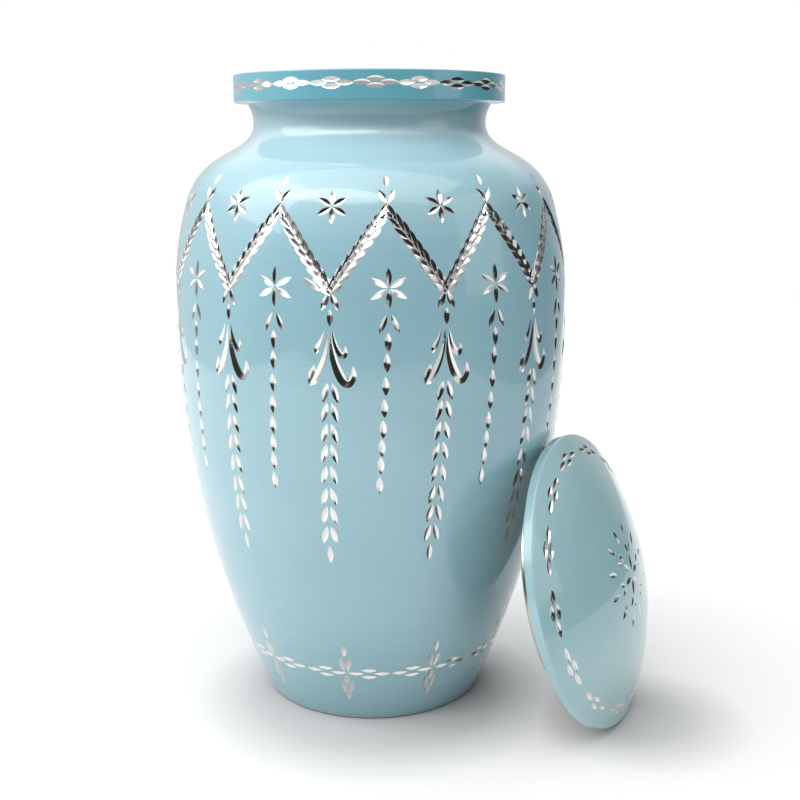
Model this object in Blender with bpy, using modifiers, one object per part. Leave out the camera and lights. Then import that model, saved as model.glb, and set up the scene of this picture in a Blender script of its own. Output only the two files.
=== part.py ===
"""Adult funeral urn: a thin-walled aluminium vessel with an engraved garland, and its lid leaning beside it.

Metres, +Z up. The origin is the centre of the vessel's flat underside, and the front faces -Y.
"""

import bmesh
import bpy
import numpy as np
from mathutils import Matrix, Vector

# Vessel: stages stacked from the foot to the rim, each with the radius it reaches
FLANK_HEIGHT = 0.1576
SHOULDER_HEIGHT = 0.0493
NECK_HEIGHT = 0.0301
FLARE_HEIGHT = 0.0075
RIM_HEIGHT = 0.0105
FOOT_RADIUS = 0.0458
BELLY_RADIUS = 0.0799
SHOULDER_DROP = 0.0062
THROAT_RADIUS = 0.0464
FLARE = 0.0021
RIM_RADIUS = 0.0540
FLANK_POWER = 2.0
SHOULDER_POWER = 2.49
SHOULDER_TURN = 0.0219
NECK_HOLLOW = 0.0129
RIM_CHAMFER = 0.0006

# Walls
WALL = 0.0026
FLOOR_THICKNESS = 0.0035
RIM_WALL = 0.0023
SEAT_DEPTH = 0.0070

# Lid: a domed cap with a threaded spigot that screws into the rim
LID_RADIUS = 0.0586
LID_BAND = 0.0036
LID_DOME = 0.0162
LID_DOME_POWER = 1.83
LID_WALL = 0.0022
SPIGOT_CLEARANCE = 0.0005
SPIGOT_DEPTH = 0.0046
SPIGOT_WALL = 0.0022

# How the lid leans on the vessel
LID_BEARING = np.radians(-24.2)
LID_FACING = np.radians(-28.75)
LID_LEAN = np.radians(15.1)
TOUCH_GAP = 0.0003

SEGMENTS = 36
CUT_DEPTH = 0.00065
CUT_LIFT = 0.0001

# Engraving on the vessel: heights above the foot as drawn on a vessel of this height, and each cut's
# size as (height, length, width) where it stands alone
DRAWN_HEIGHT = 0.2550
REPEATS = 12
PEAK_ANGLE = np.radians(4.5)
PEAK_Z = 0.2080
VALLEY_Z = 0.1795
PEAK_BEAD = (0.2161, 0.0048, 0.0022)
PEAK_LEAVES = (0.2108, 0.0054, 0.0074)
GARLAND_ROWS = 4
GARLAND_TIP_WIDTH = 0.0025
GARLAND_WIDTH = 0.0046
UPPER_STAR_Z = 0.2075
UPPER_STAR_REACH = 0.0062
LOWER_STAR_Z = 0.1797
LOWER_STAR_REACH = 0.0071
STAR_PETALS = 6
STAR_WAIST = 0.32

# Strings: height of the first and the last cut, how many, and how far the last one drifts round
BEAD_STRING = (0.1608, 0.1078, 8)
BEAD_WIDTH = 0.0026
LEAF_STRING = (0.1425, 0.0793, 9)
LEAF_PAIR_WIDTH = 0.0062
LAST_LEAF_WIDTH = 0.0025
STRING_LEAN = np.radians(-2.4)
ROW_FILL = 0.86

# Fleur: a bead, then on each side a stem stroke and a hooked tip, each as (height, length, width, turn
# outwards, shift across)
FLEUR_BEAD = (0.1694, 0.0062, 0.0022)
FLEUR_STEM = (0.1551, 0.0190, 0.0024, np.radians(-14.0), 0.0034)
FLEUR_TIP = (0.1480, 0.0062, 0.0019, np.radians(20.0), 0.0084)

CROSSES = 10
CROSS_ANGLE = np.radians(-11.5)
CROSS_Z = 0.0241
CROSS_LEAF_RISE = 0.0085
CROSS_LEAF_LENGTH = 0.0116
CROSS_LEAF_WIDTH = 0.0036
DIAMOND_REACH = 0.0068
DIAMOND_RISE = 0.0026

RIM_GROUPS = 21
RIM_ANGLE = np.radians(2.3)
RIM_GROUP_REACH = 0.0074
RIM_GROUP_RISE = 0.0029

# Engraving on the lid, with each ray's cuts as (radius, length, width)
LID_GROUPS = 14
LID_GROUP_ANGLE = np.radians(213.0)
LID_GROUP_RADIUS = 0.0523
LID_GROUP_REACH = 0.0090
LID_GROUP_RISE = 0.0028
LID_RAYS = 6
LID_RAY_ANGLE = np.radians(43.0)
LID_RAY_CUTS = ((0.0045, 0.0070, 0.0022), (0.0108, 0.0042, 0.0044), (0.0177, 0.0055, 0.0018))
LID_SPARK = (0.0167, 0.0065, 0.0022)

THROAT_Z = FLANK_HEIGHT + SHOULDER_HEIGHT + NECK_HEIGHT
RIM_Z = THROAT_Z + FLARE_HEIGHT
HEIGHT = RIM_Z + RIM_HEIGHT
SEAT_RADIUS = RIM_RADIUS - RIM_WALL
SPIGOT_RADIUS = SEAT_RADIUS - SPIGOT_CLEARANCE

# Outlines of one cut, as (along, across) shares of its half length and half width
LEAF = ((1, 0), (0, 1), (-1, 0), (0, -1))
DART = ((1, 0), (-1, 1), (-0.15, 0), (-1, -1))


def star_outline(points, waist):
    """A star with its first point along the cut, and its inner corners at this share of the reach."""
    angles = np.arange(2 * points) * np.pi / points
    reach = np.where(np.arange(2 * points) % 2 == 0, 1.0, waist)
    return tuple(zip(reach * np.cos(angles), reach * np.sin(angles)))


def clear_scene():
    for old in list(bpy.data.objects):
        bpy.data.objects.remove(old, do_unlink=True)


def new_collection(name):
    collection = bpy.data.collections.new(name)
    bpy.context.scene.collection.children.link(collection)
    return collection


def new_material(name, colour, roughness, metallic):
    material = bpy.data.materials.new(name)
    material.use_nodes = True
    shader = material.node_tree.nodes["Principled BSDF"]
    shader.inputs["Base Color"].default_value = (*colour, 1.0)
    shader.inputs["Roughness"].default_value = roughness
    shader.inputs["Metallic"].default_value = metallic
    return material


def flank(z):
    """Outer radius from the foot to the belly, the widest place: a power curve, upright at the belly."""
    return BELLY_RADIUS - (BELLY_RADIUS - FOOT_RADIUS) * (1 - z / FLANK_HEIGHT) ** FLANK_POWER


def vessel_outline():
    """Points (radius, height) up the outer side, from the foot to the rim's top edge."""
    rows = [(flank(z), z) for z in np.linspace(0, FLANK_HEIGHT, 6)]
    for t in (0.4, 0.75, 1):
        rows.append((BELLY_RADIUS - SHOULDER_DROP * t**SHOULDER_POWER, FLANK_HEIGHT + SHOULDER_HEIGHT * t))
    tangent = np.array((-SHOULDER_DROP * SHOULDER_POWER / SHOULDER_HEIGHT, 1))
    tangent /= np.hypot(*tangent)
    start = np.array(rows[-1])
    end = np.array((THROAT_RADIUS, THROAT_Z))
    handles = np.array((start, start + tangent * SHOULDER_TURN, end - (0, NECK_HOLLOW), end))
    for t in np.linspace(0, 1, 6)[1:]:
        weights = np.array(((1 - t) ** 3, 3 * t * (1 - t) ** 2, 3 * t**2 * (1 - t), t**3))
        rows.append(tuple(weights @ handles))
    rows.append((THROAT_RADIUS + FLARE, RIM_Z))
    rows.append((RIM_RADIUS, RIM_Z))
    rows.append((RIM_RADIUS, HEIGHT - RIM_CHAMFER))
    rows.append((RIM_RADIUS - RIM_CHAMFER, HEIGHT))
    return rows


def vessel_bore():
    """Points (radius, height) up the inner side: the outline set in by the wall, then the lid's seat."""
    radii, heights = np.array([row for row in vessel_outline() if row[1] <= THROAT_Z]).T
    slope = np.gradient(radii, heights)
    spread = np.hypot(1, slope)
    radii = radii - WALL / spread
    heights = heights + WALL * slope / spread
    corner = (flank(FLOOR_THICKNESS) - 2 * WALL, FLOOR_THICKNESS)
    inside = list(zip(radii[2:-1:2], heights[2:-1:2]))
    throat = THROAT_RADIUS - WALL
    seat_z = HEIGHT - SEAT_DEPTH
    return [(0.0, FLOOR_THICKNESS), corner, *inside, (throat, THROAT_Z), (throat, seat_z),
            (SEAT_RADIUS, seat_z), (SEAT_RADIUS, HEIGHT)]


def lid_dome(radius):
    return LID_BAND + LID_DOME * (1 - (radius / LID_RADIUS) ** LID_DOME_POWER)


def lid_outline():
    """Points (radius, height) over the lid from the dome's top, round the spigot, to the hollow's top."""
    outside = [(r, lid_dome(r)) for r in np.linspace(0, 1, 6) ** 0.75 * LID_RADIUS]
    hollow_radius = SPIGOT_RADIUS - SPIGOT_WALL
    hollow = [(r, lid_dome(r) - LID_WALL) for r in np.linspace(hollow_radius, 0, 3)]
    return [*outside, (LID_RADIUS, 0.0), (SPIGOT_RADIUS, 0.0), (SPIGOT_RADIUS, -SPIGOT_DEPTH),
            (hollow_radius, -SPIGOT_DEPTH), *hollow]


def lid_pose():
    """The leaning lid's matrix: its lowest point is on the floor, and its back just clears the vessel.

    Its own +Z looks out of the dome and its own +X runs down the lid's face.
    """
    facing = Vector((np.cos(LID_FACING), np.sin(LID_FACING), 0.0))
    out = facing * np.cos(LID_LEAN) + Vector((0, 0, np.sin(LID_LEAN)))
    side = Vector((-facing.y, facing.x, 0.0))
    down = side.cross(out)
    axes = Matrix((down, side, out)).transposed()
    turn = np.linspace(0, 2 * np.pi, 721)
    circles = []
    for radius, depth in ((LID_RADIUS, 0.0), (SPIGOT_RADIUS, -SPIGOT_DEPTH), (LID_RADIUS, LID_BAND)):
        local = np.stack([radius * np.cos(turn), radius * np.sin(turn), np.full_like(turn, depth)], axis=1)
        circles.append(local @ np.array(axes).T)
    back = np.concatenate(circles)
    height = -back[:, 2].min()
    wall = np.interp(back[:, 2] + height, *np.array(vessel_outline())[:, ::-1].T)
    nearest, farthest = BELLY_RADIUS, BELLY_RADIUS + 2 * LID_RADIUS
    for _ in range(40):
        distance = (nearest + farthest) / 2
        x = back[:, 0] + distance * np.cos(LID_BEARING)
        y = back[:, 1] + distance * np.sin(LID_BEARING)
        if (np.hypot(x, y) - wall).min() > TOUCH_GAP:
            farthest = distance
        else:
            nearest = distance
    place = Vector((farthest * np.cos(LID_BEARING), farthest * np.sin(LID_BEARING), height))
    return Matrix.Translation(place) @ axes.to_4x4()


def turned(name, outline, material, collection):
    """A solid of revolution: the outline is a wire in the XZ plane, turned by a Screw modifier."""
    mesh = bpy.data.meshes.new(name)
    edges = [(i, i + 1) for i in range(len(outline) - 1)]
    mesh.from_pydata([(r, 0.0, z) for r, z in outline], edges, [])
    mesh.materials.append(material)
    solid = bpy.data.objects.new(name, mesh)
    collection.objects.link(solid)
    screw = solid.modifiers.new("turn", "SCREW")
    screw.steps = SEGMENTS
    screw.render_steps = SEGMENTS
    screw.use_merge_vertices = True
    screw.merge_threshold = 0.00001
    screw.use_smooth_shade = True
    return solid


def facet_share(angle):
    """The turned solid's radius at this angle, between its corners, as a share of the radius at a corner."""
    half = np.pi / SEGMENTS
    return np.cos(half) / np.cos(np.mod(angle, 2 * half) - half)


def surface_frame(profile, angle, position):
    """Point on a turned surface with its axes: along the outline, across it, and into the metal.

    The profile is (position, radius, height) rows, and the position is the height on the vessel and the
    radius on the lid. The angle runs from +X round to +Y.
    """
    places, radii, heights = np.array(profile).T
    step = 0.0005
    r0, r1 = np.interp((position - step, position + step), places, radii)
    z0, z1 = np.interp((position - step, position + step), places, heights)
    radius = (r0 + r1) / 2 * facet_share(angle)
    radial = Vector((np.cos(angle), np.sin(angle), 0.0))
    across = Vector((-np.sin(angle), np.cos(angle), 0.0))
    along = (radial * (r1 - r0) + Vector((0, 0, z1 - z0))).normalized()
    point = radial * radius + Vector((0, 0, (z0 + z1) / 2))
    return point, along, across, along.cross(across)


def add_cut(cutters, frame, length, width, outline=LEAF, turn=0.0, shift=0.0):
    """One pit: a cone with this outline at the surface and its tip at the cut's depth.

    It is turned in the surface from the along axis, and shifted across it.
    """
    point, along, across, inward = frame
    reach = (CUT_DEPTH + CUT_LIFT) / CUT_DEPTH
    heading = along * np.cos(turn) + across * np.sin(turn)
    beside = inward.cross(heading)
    middle = point + across * shift + inward * (CUT_DEPTH - CUT_LIFT) / 2
    axes = Matrix((heading * length / 2 * reach, beside * width / 2 * reach, inward * (CUT_DEPTH + CUT_LIFT)))
    placed = Matrix.Translation(middle) @ axes.transposed().to_4x4()
    cone = bmesh.ops.create_cone(cutters, cap_ends=True, segments=len(outline), radius1=1, radius2=0, depth=1)
    rim = [v for v in cone["verts"] if v.co.z < 0]
    rim.sort(key=lambda corner: np.mod(np.arctan2(corner.co.y, corner.co.x) + 0.01, 2 * np.pi))
    for corner, (x, y) in zip(rim, outline):
        corner.co = (x, y, corner.co.z)
    bmesh.ops.transform(cutters, matrix=placed, verts=cone["verts"])


def carve(solid, cutters, collection):
    """Takes the joined cutters out of the solid."""
    bmesh.ops.remove_doubles(cutters, verts=cutters.verts, dist=1e-7)
    bmesh.ops.recalc_face_normals(cutters, faces=cutters.faces)
    mesh = bpy.data.meshes.new(solid.name + "_cuts")
    cutters.to_mesh(mesh)
    cutters.free()
    cutter = bpy.data.objects.new(mesh.name, mesh)
    cutter.matrix_world = solid.matrix_world
    cutter.hide_render = True
    cutter.display_type = "WIRE"
    collection.objects.link(cutter)
    cut = solid.modifiers.new("engraving", "BOOLEAN")
    cut.operation = "DIFFERENCE"
    cut.solver = "EXACT"
    cut.use_self = True
    cut.object = cutter


def vessel_profile():
    """Rows (height, radius, height) for placing cuts on the vessel."""
    return [(z, r, z) for r, z in vessel_outline()]


def level(drawn_z):
    """Height on this vessel of a height in the drawing of the engraving."""
    return drawn_z * HEIGHT / DRAWN_HEIGHT


def place(angle, drawn_z):
    """Frame on the vessel: the angle is measured from the front, and positive to the right."""
    return surface_frame(vessel_profile(), angle - np.pi / 2, level(drawn_z))


def carve_garland(cutters, angle):
    """Two legs of a laurel garland, from the peak at this angle down to the valleys beside it."""
    run = np.pi / REPEATS * BELLY_RADIUS
    fall = level(PEAK_Z) - level(VALLEY_Z)
    row_length = np.hypot(fall, run) / GARLAND_ROWS
    for side in (-1, 1):
        slope = np.arctan2(side * run, -fall)
        for row in range(GARLAND_ROWS):
            share = (row + 0.5) / GARLAND_ROWS
            frame = place(angle + side * np.pi / REPEATS * share, PEAK_Z + (VALLEY_Z - PEAK_Z) * share)
            outline, width = (DART, GARLAND_WIDTH) if row else (LEAF, GARLAND_TIP_WIDTH)
            add_cut(cutters, frame, row_length * ROW_FILL, width, outline, turn=slope)


def carve_peak(cutters, angle):
    """A bead on the peak, over a pair of leaves that open upwards."""
    z, length, width = PEAK_BEAD
    add_cut(cutters, place(angle, z), length, width)
    z, length, width = PEAK_LEAVES
    add_cut(cutters, place(angle, z), length, width, DART, turn=np.pi)


def carve_stars(cutters, peak, valley):
    """Stars: one above each valley, one below each peak."""
    petals = star_outline(STAR_PETALS, STAR_WAIST)
    add_cut(cutters, place(valley, UPPER_STAR_Z), 2 * UPPER_STAR_REACH, 2 * UPPER_STAR_REACH, petals)
    add_cut(cutters, place(peak, LOWER_STAR_Z), 2 * LOWER_STAR_REACH, 2 * LOWER_STAR_REACH, petals)


def string_rows(string, angle):
    """Frame and length of each cut in a string that hangs down with the engraver's lean."""
    top, end, count = string
    length = (level(top) - level(end)) / (count - 1) * ROW_FILL
    for share in np.linspace(0, 1, count):
        yield place(angle + STRING_LEAN * share, top + (end - top) * share), length


def carve_strings(cutters, peak, valley):
    """Beads under each peak, and leaf pairs under each valley that end in a single leaf."""
    for frame, length in string_rows(BEAD_STRING, peak):
        add_cut(cutters, frame, length, BEAD_WIDTH)
    *pairs, last = string_rows(LEAF_STRING, valley)
    for frame, length in pairs:
        add_cut(cutters, frame, length, LEAF_PAIR_WIDTH, DART)
    frame, length = last
    add_cut(cutters, frame, length, LAST_LEAF_WIDTH)


def carve_fleur(cutters, angle):
    """A bead over two long curls, each a stem stroke and a hooked tip."""
    z, length, width = FLEUR_BEAD
    add_cut(cutters, place(angle, z), length, width)
    for side in (-1, 1):
        for z, length, width, turn, shift in (FLEUR_STEM, FLEUR_TIP):
            add_cut(cutters, place(angle, z), length, width, turn=side * turn, shift=side * shift)


def carve_foot_band(cutters):
    """Upright crosses round the foot, each of two tall leaves, with two flat diamonds between neighbours."""
    pitch = 2 * np.pi / CROSSES
    for i in range(CROSSES):
        angle = CROSS_ANGLE + pitch * i
        for side in (-1, 1):
            leaf = place(angle, CROSS_Z + side * CROSS_LEAF_RISE)
            add_cut(cutters, leaf, CROSS_LEAF_LENGTH, CROSS_LEAF_WIDTH)
        for share in (1 / 4, 3 / 4):
            add_cut(cutters, place(angle + pitch * share, CROSS_Z), 2 * DIAMOND_RISE, 2 * DIAMOND_REACH)


def carve_rim_band(cutters):
    for i in range(RIM_GROUPS):
        angle = RIM_ANGLE + 2 * np.pi * i / RIM_GROUPS - np.pi / 2
        frame = surface_frame(vessel_profile(), angle, (RIM_Z + HEIGHT) / 2)
        add_cut(cutters, frame, 2 * RIM_GROUP_RISE, 2 * RIM_GROUP_REACH)


def carve_vessel(vessel, collection):
    cutters = bmesh.new()
    pitch = 2 * np.pi / REPEATS
    for i in range(REPEATS):
        peak = PEAK_ANGLE + pitch * i
        valley = peak - pitch / 2
        carve_garland(cutters, peak)
        carve_peak(cutters, peak)
        carve_stars(cutters, peak, valley)
        carve_strings(cutters, peak, valley)
        carve_fleur(cutters, valley)
    carve_foot_band(cutters)
    carve_rim_band(cutters)
    carve(vessel, cutters, collection)


def carve_lid(lid, collection):
    """A band of flat diamonds near the lid's edge, and a rosette of rays with sparks between them."""
    cutters = bmesh.new()
    profile = [(r, r, lid_dome(r)) for r in np.linspace(0, 1, 6) ** 0.75 * LID_RADIUS]
    for i in range(LID_GROUPS):
        angle = LID_GROUP_ANGLE + 2 * np.pi * i / LID_GROUPS
        frame = surface_frame(profile, angle, LID_GROUP_RADIUS)
        add_cut(cutters, flipped(frame), 2 * LID_GROUP_RISE, 2 * LID_GROUP_REACH)
    for i in range(LID_RAYS):
        angle = LID_RAY_ANGLE + 2 * np.pi * i / LID_RAYS
        for radius, length, width in LID_RAY_CUTS:
            add_cut(cutters, flipped(surface_frame(profile, angle, radius)), length, width)
        radius, length, width = LID_SPARK
        spark = surface_frame(profile, angle + np.pi / LID_RAYS, radius)
        add_cut(cutters, flipped(spark), length, width)
    carve(lid, cutters, collection)


def flipped(frame):
    """A frame that looks into the metal on the lid, where the position grows outwards."""
    point, along, across, inward = frame
    return point, along, -across, -inward


def main():
    clear_scene()
    parts = new_collection("funeral_urn")
    cutting = new_collection("cutters")
    enamel = new_material("blue_enamel_vessel", (0.33, 0.57, 0.66), 0.16, 0.15)
    lid_enamel = new_material("blue_enamel_lid", (0.33, 0.57, 0.66), 0.16, 0.15)

    vessel = turned("urn_body", [*vessel_bore(), *reversed(vessel_outline()), (0.0, 0.0)], enamel, parts)
    carve_vessel(vessel, cutting)

    lid = turned("lid", lid_outline(), lid_enamel, parts)
    lid.matrix_world = lid_pose()
    carve_lid(lid, cutting)


main()
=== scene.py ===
import math

import bmesh
import bpy
import numpy as np
from mathutils import Matrix, Vector


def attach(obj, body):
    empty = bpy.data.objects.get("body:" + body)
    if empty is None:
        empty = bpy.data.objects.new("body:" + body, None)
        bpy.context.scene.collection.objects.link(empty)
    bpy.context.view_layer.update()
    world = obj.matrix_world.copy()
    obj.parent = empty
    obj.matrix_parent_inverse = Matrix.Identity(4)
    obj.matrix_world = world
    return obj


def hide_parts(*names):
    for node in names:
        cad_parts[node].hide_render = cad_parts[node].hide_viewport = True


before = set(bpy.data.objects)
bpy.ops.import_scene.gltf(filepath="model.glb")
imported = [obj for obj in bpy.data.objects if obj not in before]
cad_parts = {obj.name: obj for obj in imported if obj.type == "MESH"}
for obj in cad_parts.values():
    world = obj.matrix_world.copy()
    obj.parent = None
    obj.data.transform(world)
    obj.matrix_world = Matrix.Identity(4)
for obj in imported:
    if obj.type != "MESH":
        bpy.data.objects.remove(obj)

# The vessel's side in mm, stacked from the foot to the rim
FLANK_HEIGHT = 157.6
SHOULDER_HEIGHT = 49.3
NECK_HEIGHT = 30.1
FLARE_HEIGHT = 7.5
RIM_HEIGHT = 10.5
FOOT_RADIUS = 45.8
BELLY_RADIUS = 79.9
SHOULDER_DROP = 6.2
SHOULDER_POWER = 2.49
SHOULDER_TURN = 21.9
NECK_HOLLOW = 12.9
THROAT_RADIUS = 46.4
FLARE = 2.1
RIM_RADIUS = 54.0
RIM_Z = FLANK_HEIGHT + SHOULDER_HEIGHT + NECK_HEIGHT + FLARE_HEIGHT
HEIGHT = RIM_Z + RIM_HEIGHT

# Walls, the lid's seat, and the small roundings that the enamel leaves on every edge
WALL = 2.6
FLOOR_THICKNESS = 3.5
SEAT_RADIUS = 51.7
SEAT_DEPTH = 7.0
EDGE = 0.5
BARE_FOOT = 0.7

# The lid in its own frame: +Z looks out of the dome, and the spigot goes down behind it
LID_RADIUS = 58.6
LID_BAND = 3.6
LID_DOME = 16.2
LID_DOME_POWER = 1.83
LID_WALL = 2.2
SPIGOT_RADIUS = 51.2
SPIGOT_DEPTH = 4.6
SPIGOT_BORE = 49.0
THREAD_PITCH = 1.5
THREAD_DEPTH = 0.35

# How the lid leans: the axes and the place of its frame, in the room's own frame and metres
LID_DOWN = (0.2284, -0.1253, -0.9655)
LID_SIDE = (0.4810, 0.8767, 0.0)
LID_OUT = (0.8465, -0.4644, 0.2605)
LID_PLACE = (0.0858, -0.0385, 0.0566)

# Bright cutting: a V tool's flanks rise this much for each mm across, and the cutters stand this
# much proud of the enamel
FLANK_RISE = 0.42
PROUD = 0.06

# The ornament: heights and lengths in mm, and angles in degrees from the front towards the right
REPEATS = 12
HALF_PITCH = 180.0 / REPEATS
PEAK_ANGLE = 4.5
VALLEY_ANGLE = -10.5
GARLAND_ROWS = 9
GARLAND_TOP = 208.0
GARLAND_FOOT = 179.5
GARLAND_RADIUS = 78.5
STAR_RADIUS = 79.0
CROSSES = 10
CROSS_ANGLE = -11.5
FOOT_BAND_Z = 24.4
RIM_GROUPS = 21
RIM_GROUP_ANGLE = 2.3
RIM_BAND_Z = 250.3
LID_GROUPS = 14
LID_GROUP_ANGLE = 304.8
LID_GROUP_RADIUS = 51.6
LID_RAYS = 6
LID_RAY_ANGLE = 133.0

# Columns round every turned piece, and rows along each part of its outline
COLUMNS = 192
FLANK_ROWS = 40
SHOULDER_ROWS = 12
NECK_ROWS = 18
FLARE_ROWS = 3
DOME_ROWS = 40
HOLLOW_ROWS = 18

# Corners where rows meet at less than this are smooth, in degrees: on the turned outline, and
# between the faces of a cut
SOFT_ROWS = 35
SOFT_CUTS = 30

# Patterns: mm between the rings that turning leaves, and marks for each metre. A dimple of orange
# peel is 2.4 mm, a cloud in the enamel 36 mm, a chatter mark 1.1 mm, and a clump of fibre 1.4 mm
ENAMEL_RING = 0.9
BARE_RING = 0.5
RAW_RING = 1.2
PEEL = 420.0
CLOUD = 28.0
CHATTER = 900.0
FIBRE = 700.0

# Enamel on the vessel, by height in metres: from the first pair up it is paler, painted light in the neck's
# hollow that the rim shades, and from the second up a darker blue, painted shade in the hollow under the
# rim and darker on the rim band too
PAINTED_LIGHT_FROM, PAINTED_LIGHT_TO = 0.218, 0.230
PAINTED_SHADE_FROM, PAINTED_SHADE_TO = 0.2375, 0.243

# The roll of paper, in metres: its front edge and its sides, where its painted glow, an emission with no
# lamp, reaches its full strength behind the front edge, and how strong that is
PAPER_EDGE = -0.72
PAPER_LEFT = -0.675
PAPER_RIGHT = 0.58
PAPER_BACK = 1.7
PAPER_LIT = -0.35
PAPER_PAINTED_GLOW = 0.82

# Where the vessel and the lid shade the paper, the radius that the vessel covers, and the painted glow by
# the distance from them times PAINTED_GLOW_SCALE: the glow falls near them, painting their shadows on the
# paper
VESSEL_SHADE = (0.0, -0.020, 0.0)
LID_SHADE = (0.108, -0.048, 0.0)
VESSEL_COVER = 0.031
PAINTED_GLOW_SCALE = 0.6
PAINTED_GLOW_STOPS = ((0.010, 0.0), (0.028, 0.36), (0.14, 0.6), (0.75, 0.95))

# Outside the picture on the right the painted glow falls to a share, by x less a part of y, as painted
# shade on that side
RIGHT_SLANT = (1.0, -0.34, 0.0)
RIGHT_FROM, RIGHT_TO, RIGHT_SHARE = 0.18, 0.36, 0.2

# The room: it glows above about 16 to 29 degrees (as sines), and towards the back on the left
HIGH_FROM, HIGH_TO, HIGH_GLOW = 0.28, 0.48, 0.5
BACK_WAY = (-0.5, 0.86, 0.0)
BACK_FROM, BACK_TO, BACK_GLOW = -0.1, 0.6, 0.65
DARK_SIDE = 0.03

# Each light's name, place, aim, width and height in metres, watts and shape
LIGHTS = (
    ("left_box", (-0.95, -0.25, 0.92), (0, 0, 0.20), 0.95, 0.80, 6.0, "RECTANGLE"),
    ("right_box", (1.00, -0.45, 0.55), (0, 0, 0.15), 0.55, 0.80, 1.2, "RECTANGLE"),
    ("front_umbrella", (-0.30, -0.68, 0.99), (0, 0, 0.20), 1.00, 0.38, 3.0, "ELLIPSE"),
    ("over_box", (-0.10, -0.45, 1.45), (0, 0, 0.20), 2.4, 1.3, 14.0, "RECTANGLE"),
)

# The camera's place in metres, its turn to the right, down and about its own axis in degrees, and
# its lens and sensor in mm
CAMERA_PLACE = (0.0, -0.4905, 0.2303)
CAMERA_TURN = (1.38, 12.37, -0.16)
CAMERA_LENS = 53.46
CAMERA_SENSOR = 36.0


def linear(hex_colour):
    """sRGB hex to linear RGBA: below 0.04045 a twelfth and a bit, above it a 2.4 power."""
    value = np.array([int(hex_colour[i:i + 2], 16) / 255 for i in (1, 3, 5)])
    value = np.where(value <= 0.04045, value / 12.92, ((value + 0.055) / 1.055) ** 2.4)
    return (*value.tolist(), 1.0)


def add_node(tree, kind, inputs=None, **settings):
    """Adds a node, gives it its settings, and fills each input with a value or a link."""
    node = tree.nodes.new(kind)
    for name, value in settings.items():
        setattr(node, name, value)
    for name, value in (inputs or {}).items():
        if isinstance(value, bpy.types.NodeSocket):
            tree.links.new(value, node.inputs[name])
        else:
            node.inputs[name].default_value = value
    return node


def new_material(name):
    material = bpy.data.materials.new(name)
    material.use_nodes = True
    material.node_tree.nodes.clear()
    return material, material.node_tree


def link_object(name, data):
    """A new object in the scene, at the origin."""
    made = bpy.data.objects.new(name, data)
    bpy.context.scene.collection.objects.link(made)
    return made


def rings(tree, spacing, stretch):
    """Noise drawn out round the axis: it changes every spacing mm up the side, and slowly round it. It
    reads the sine and cosine of the turn, so it has no seam."""
    run = add_node(tree, "ShaderNodeUVMap", uv_map="run")
    parts = add_node(tree, "ShaderNodeSeparateXYZ", {0: run.outputs[0]})
    turn = add_node(tree, "ShaderNodeMath", {0: parts.outputs[0], 1: 2 * np.pi}, operation="MULTIPLY")
    east = add_node(tree, "ShaderNodeMath", {0: turn.outputs[0]}, operation="SINE")
    north = add_node(tree, "ShaderNodeMath", {0: turn.outputs[0]}, operation="COSINE")
    place = add_node(tree, "ShaderNodeCombineXYZ", {
        0: east.outputs[0], 1: north.outputs[0], 2: parts.outputs[1]})
    mapped = add_node(tree, "ShaderNodeMapping", {
        0: place.outputs[0], "Scale": (stretch, stretch, 1 / spacing)})
    return add_node(tree, "ShaderNodeTexNoise", {"Vector": mapped.outputs[0], "Scale": 1.0, "Detail": 2.0})


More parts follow.
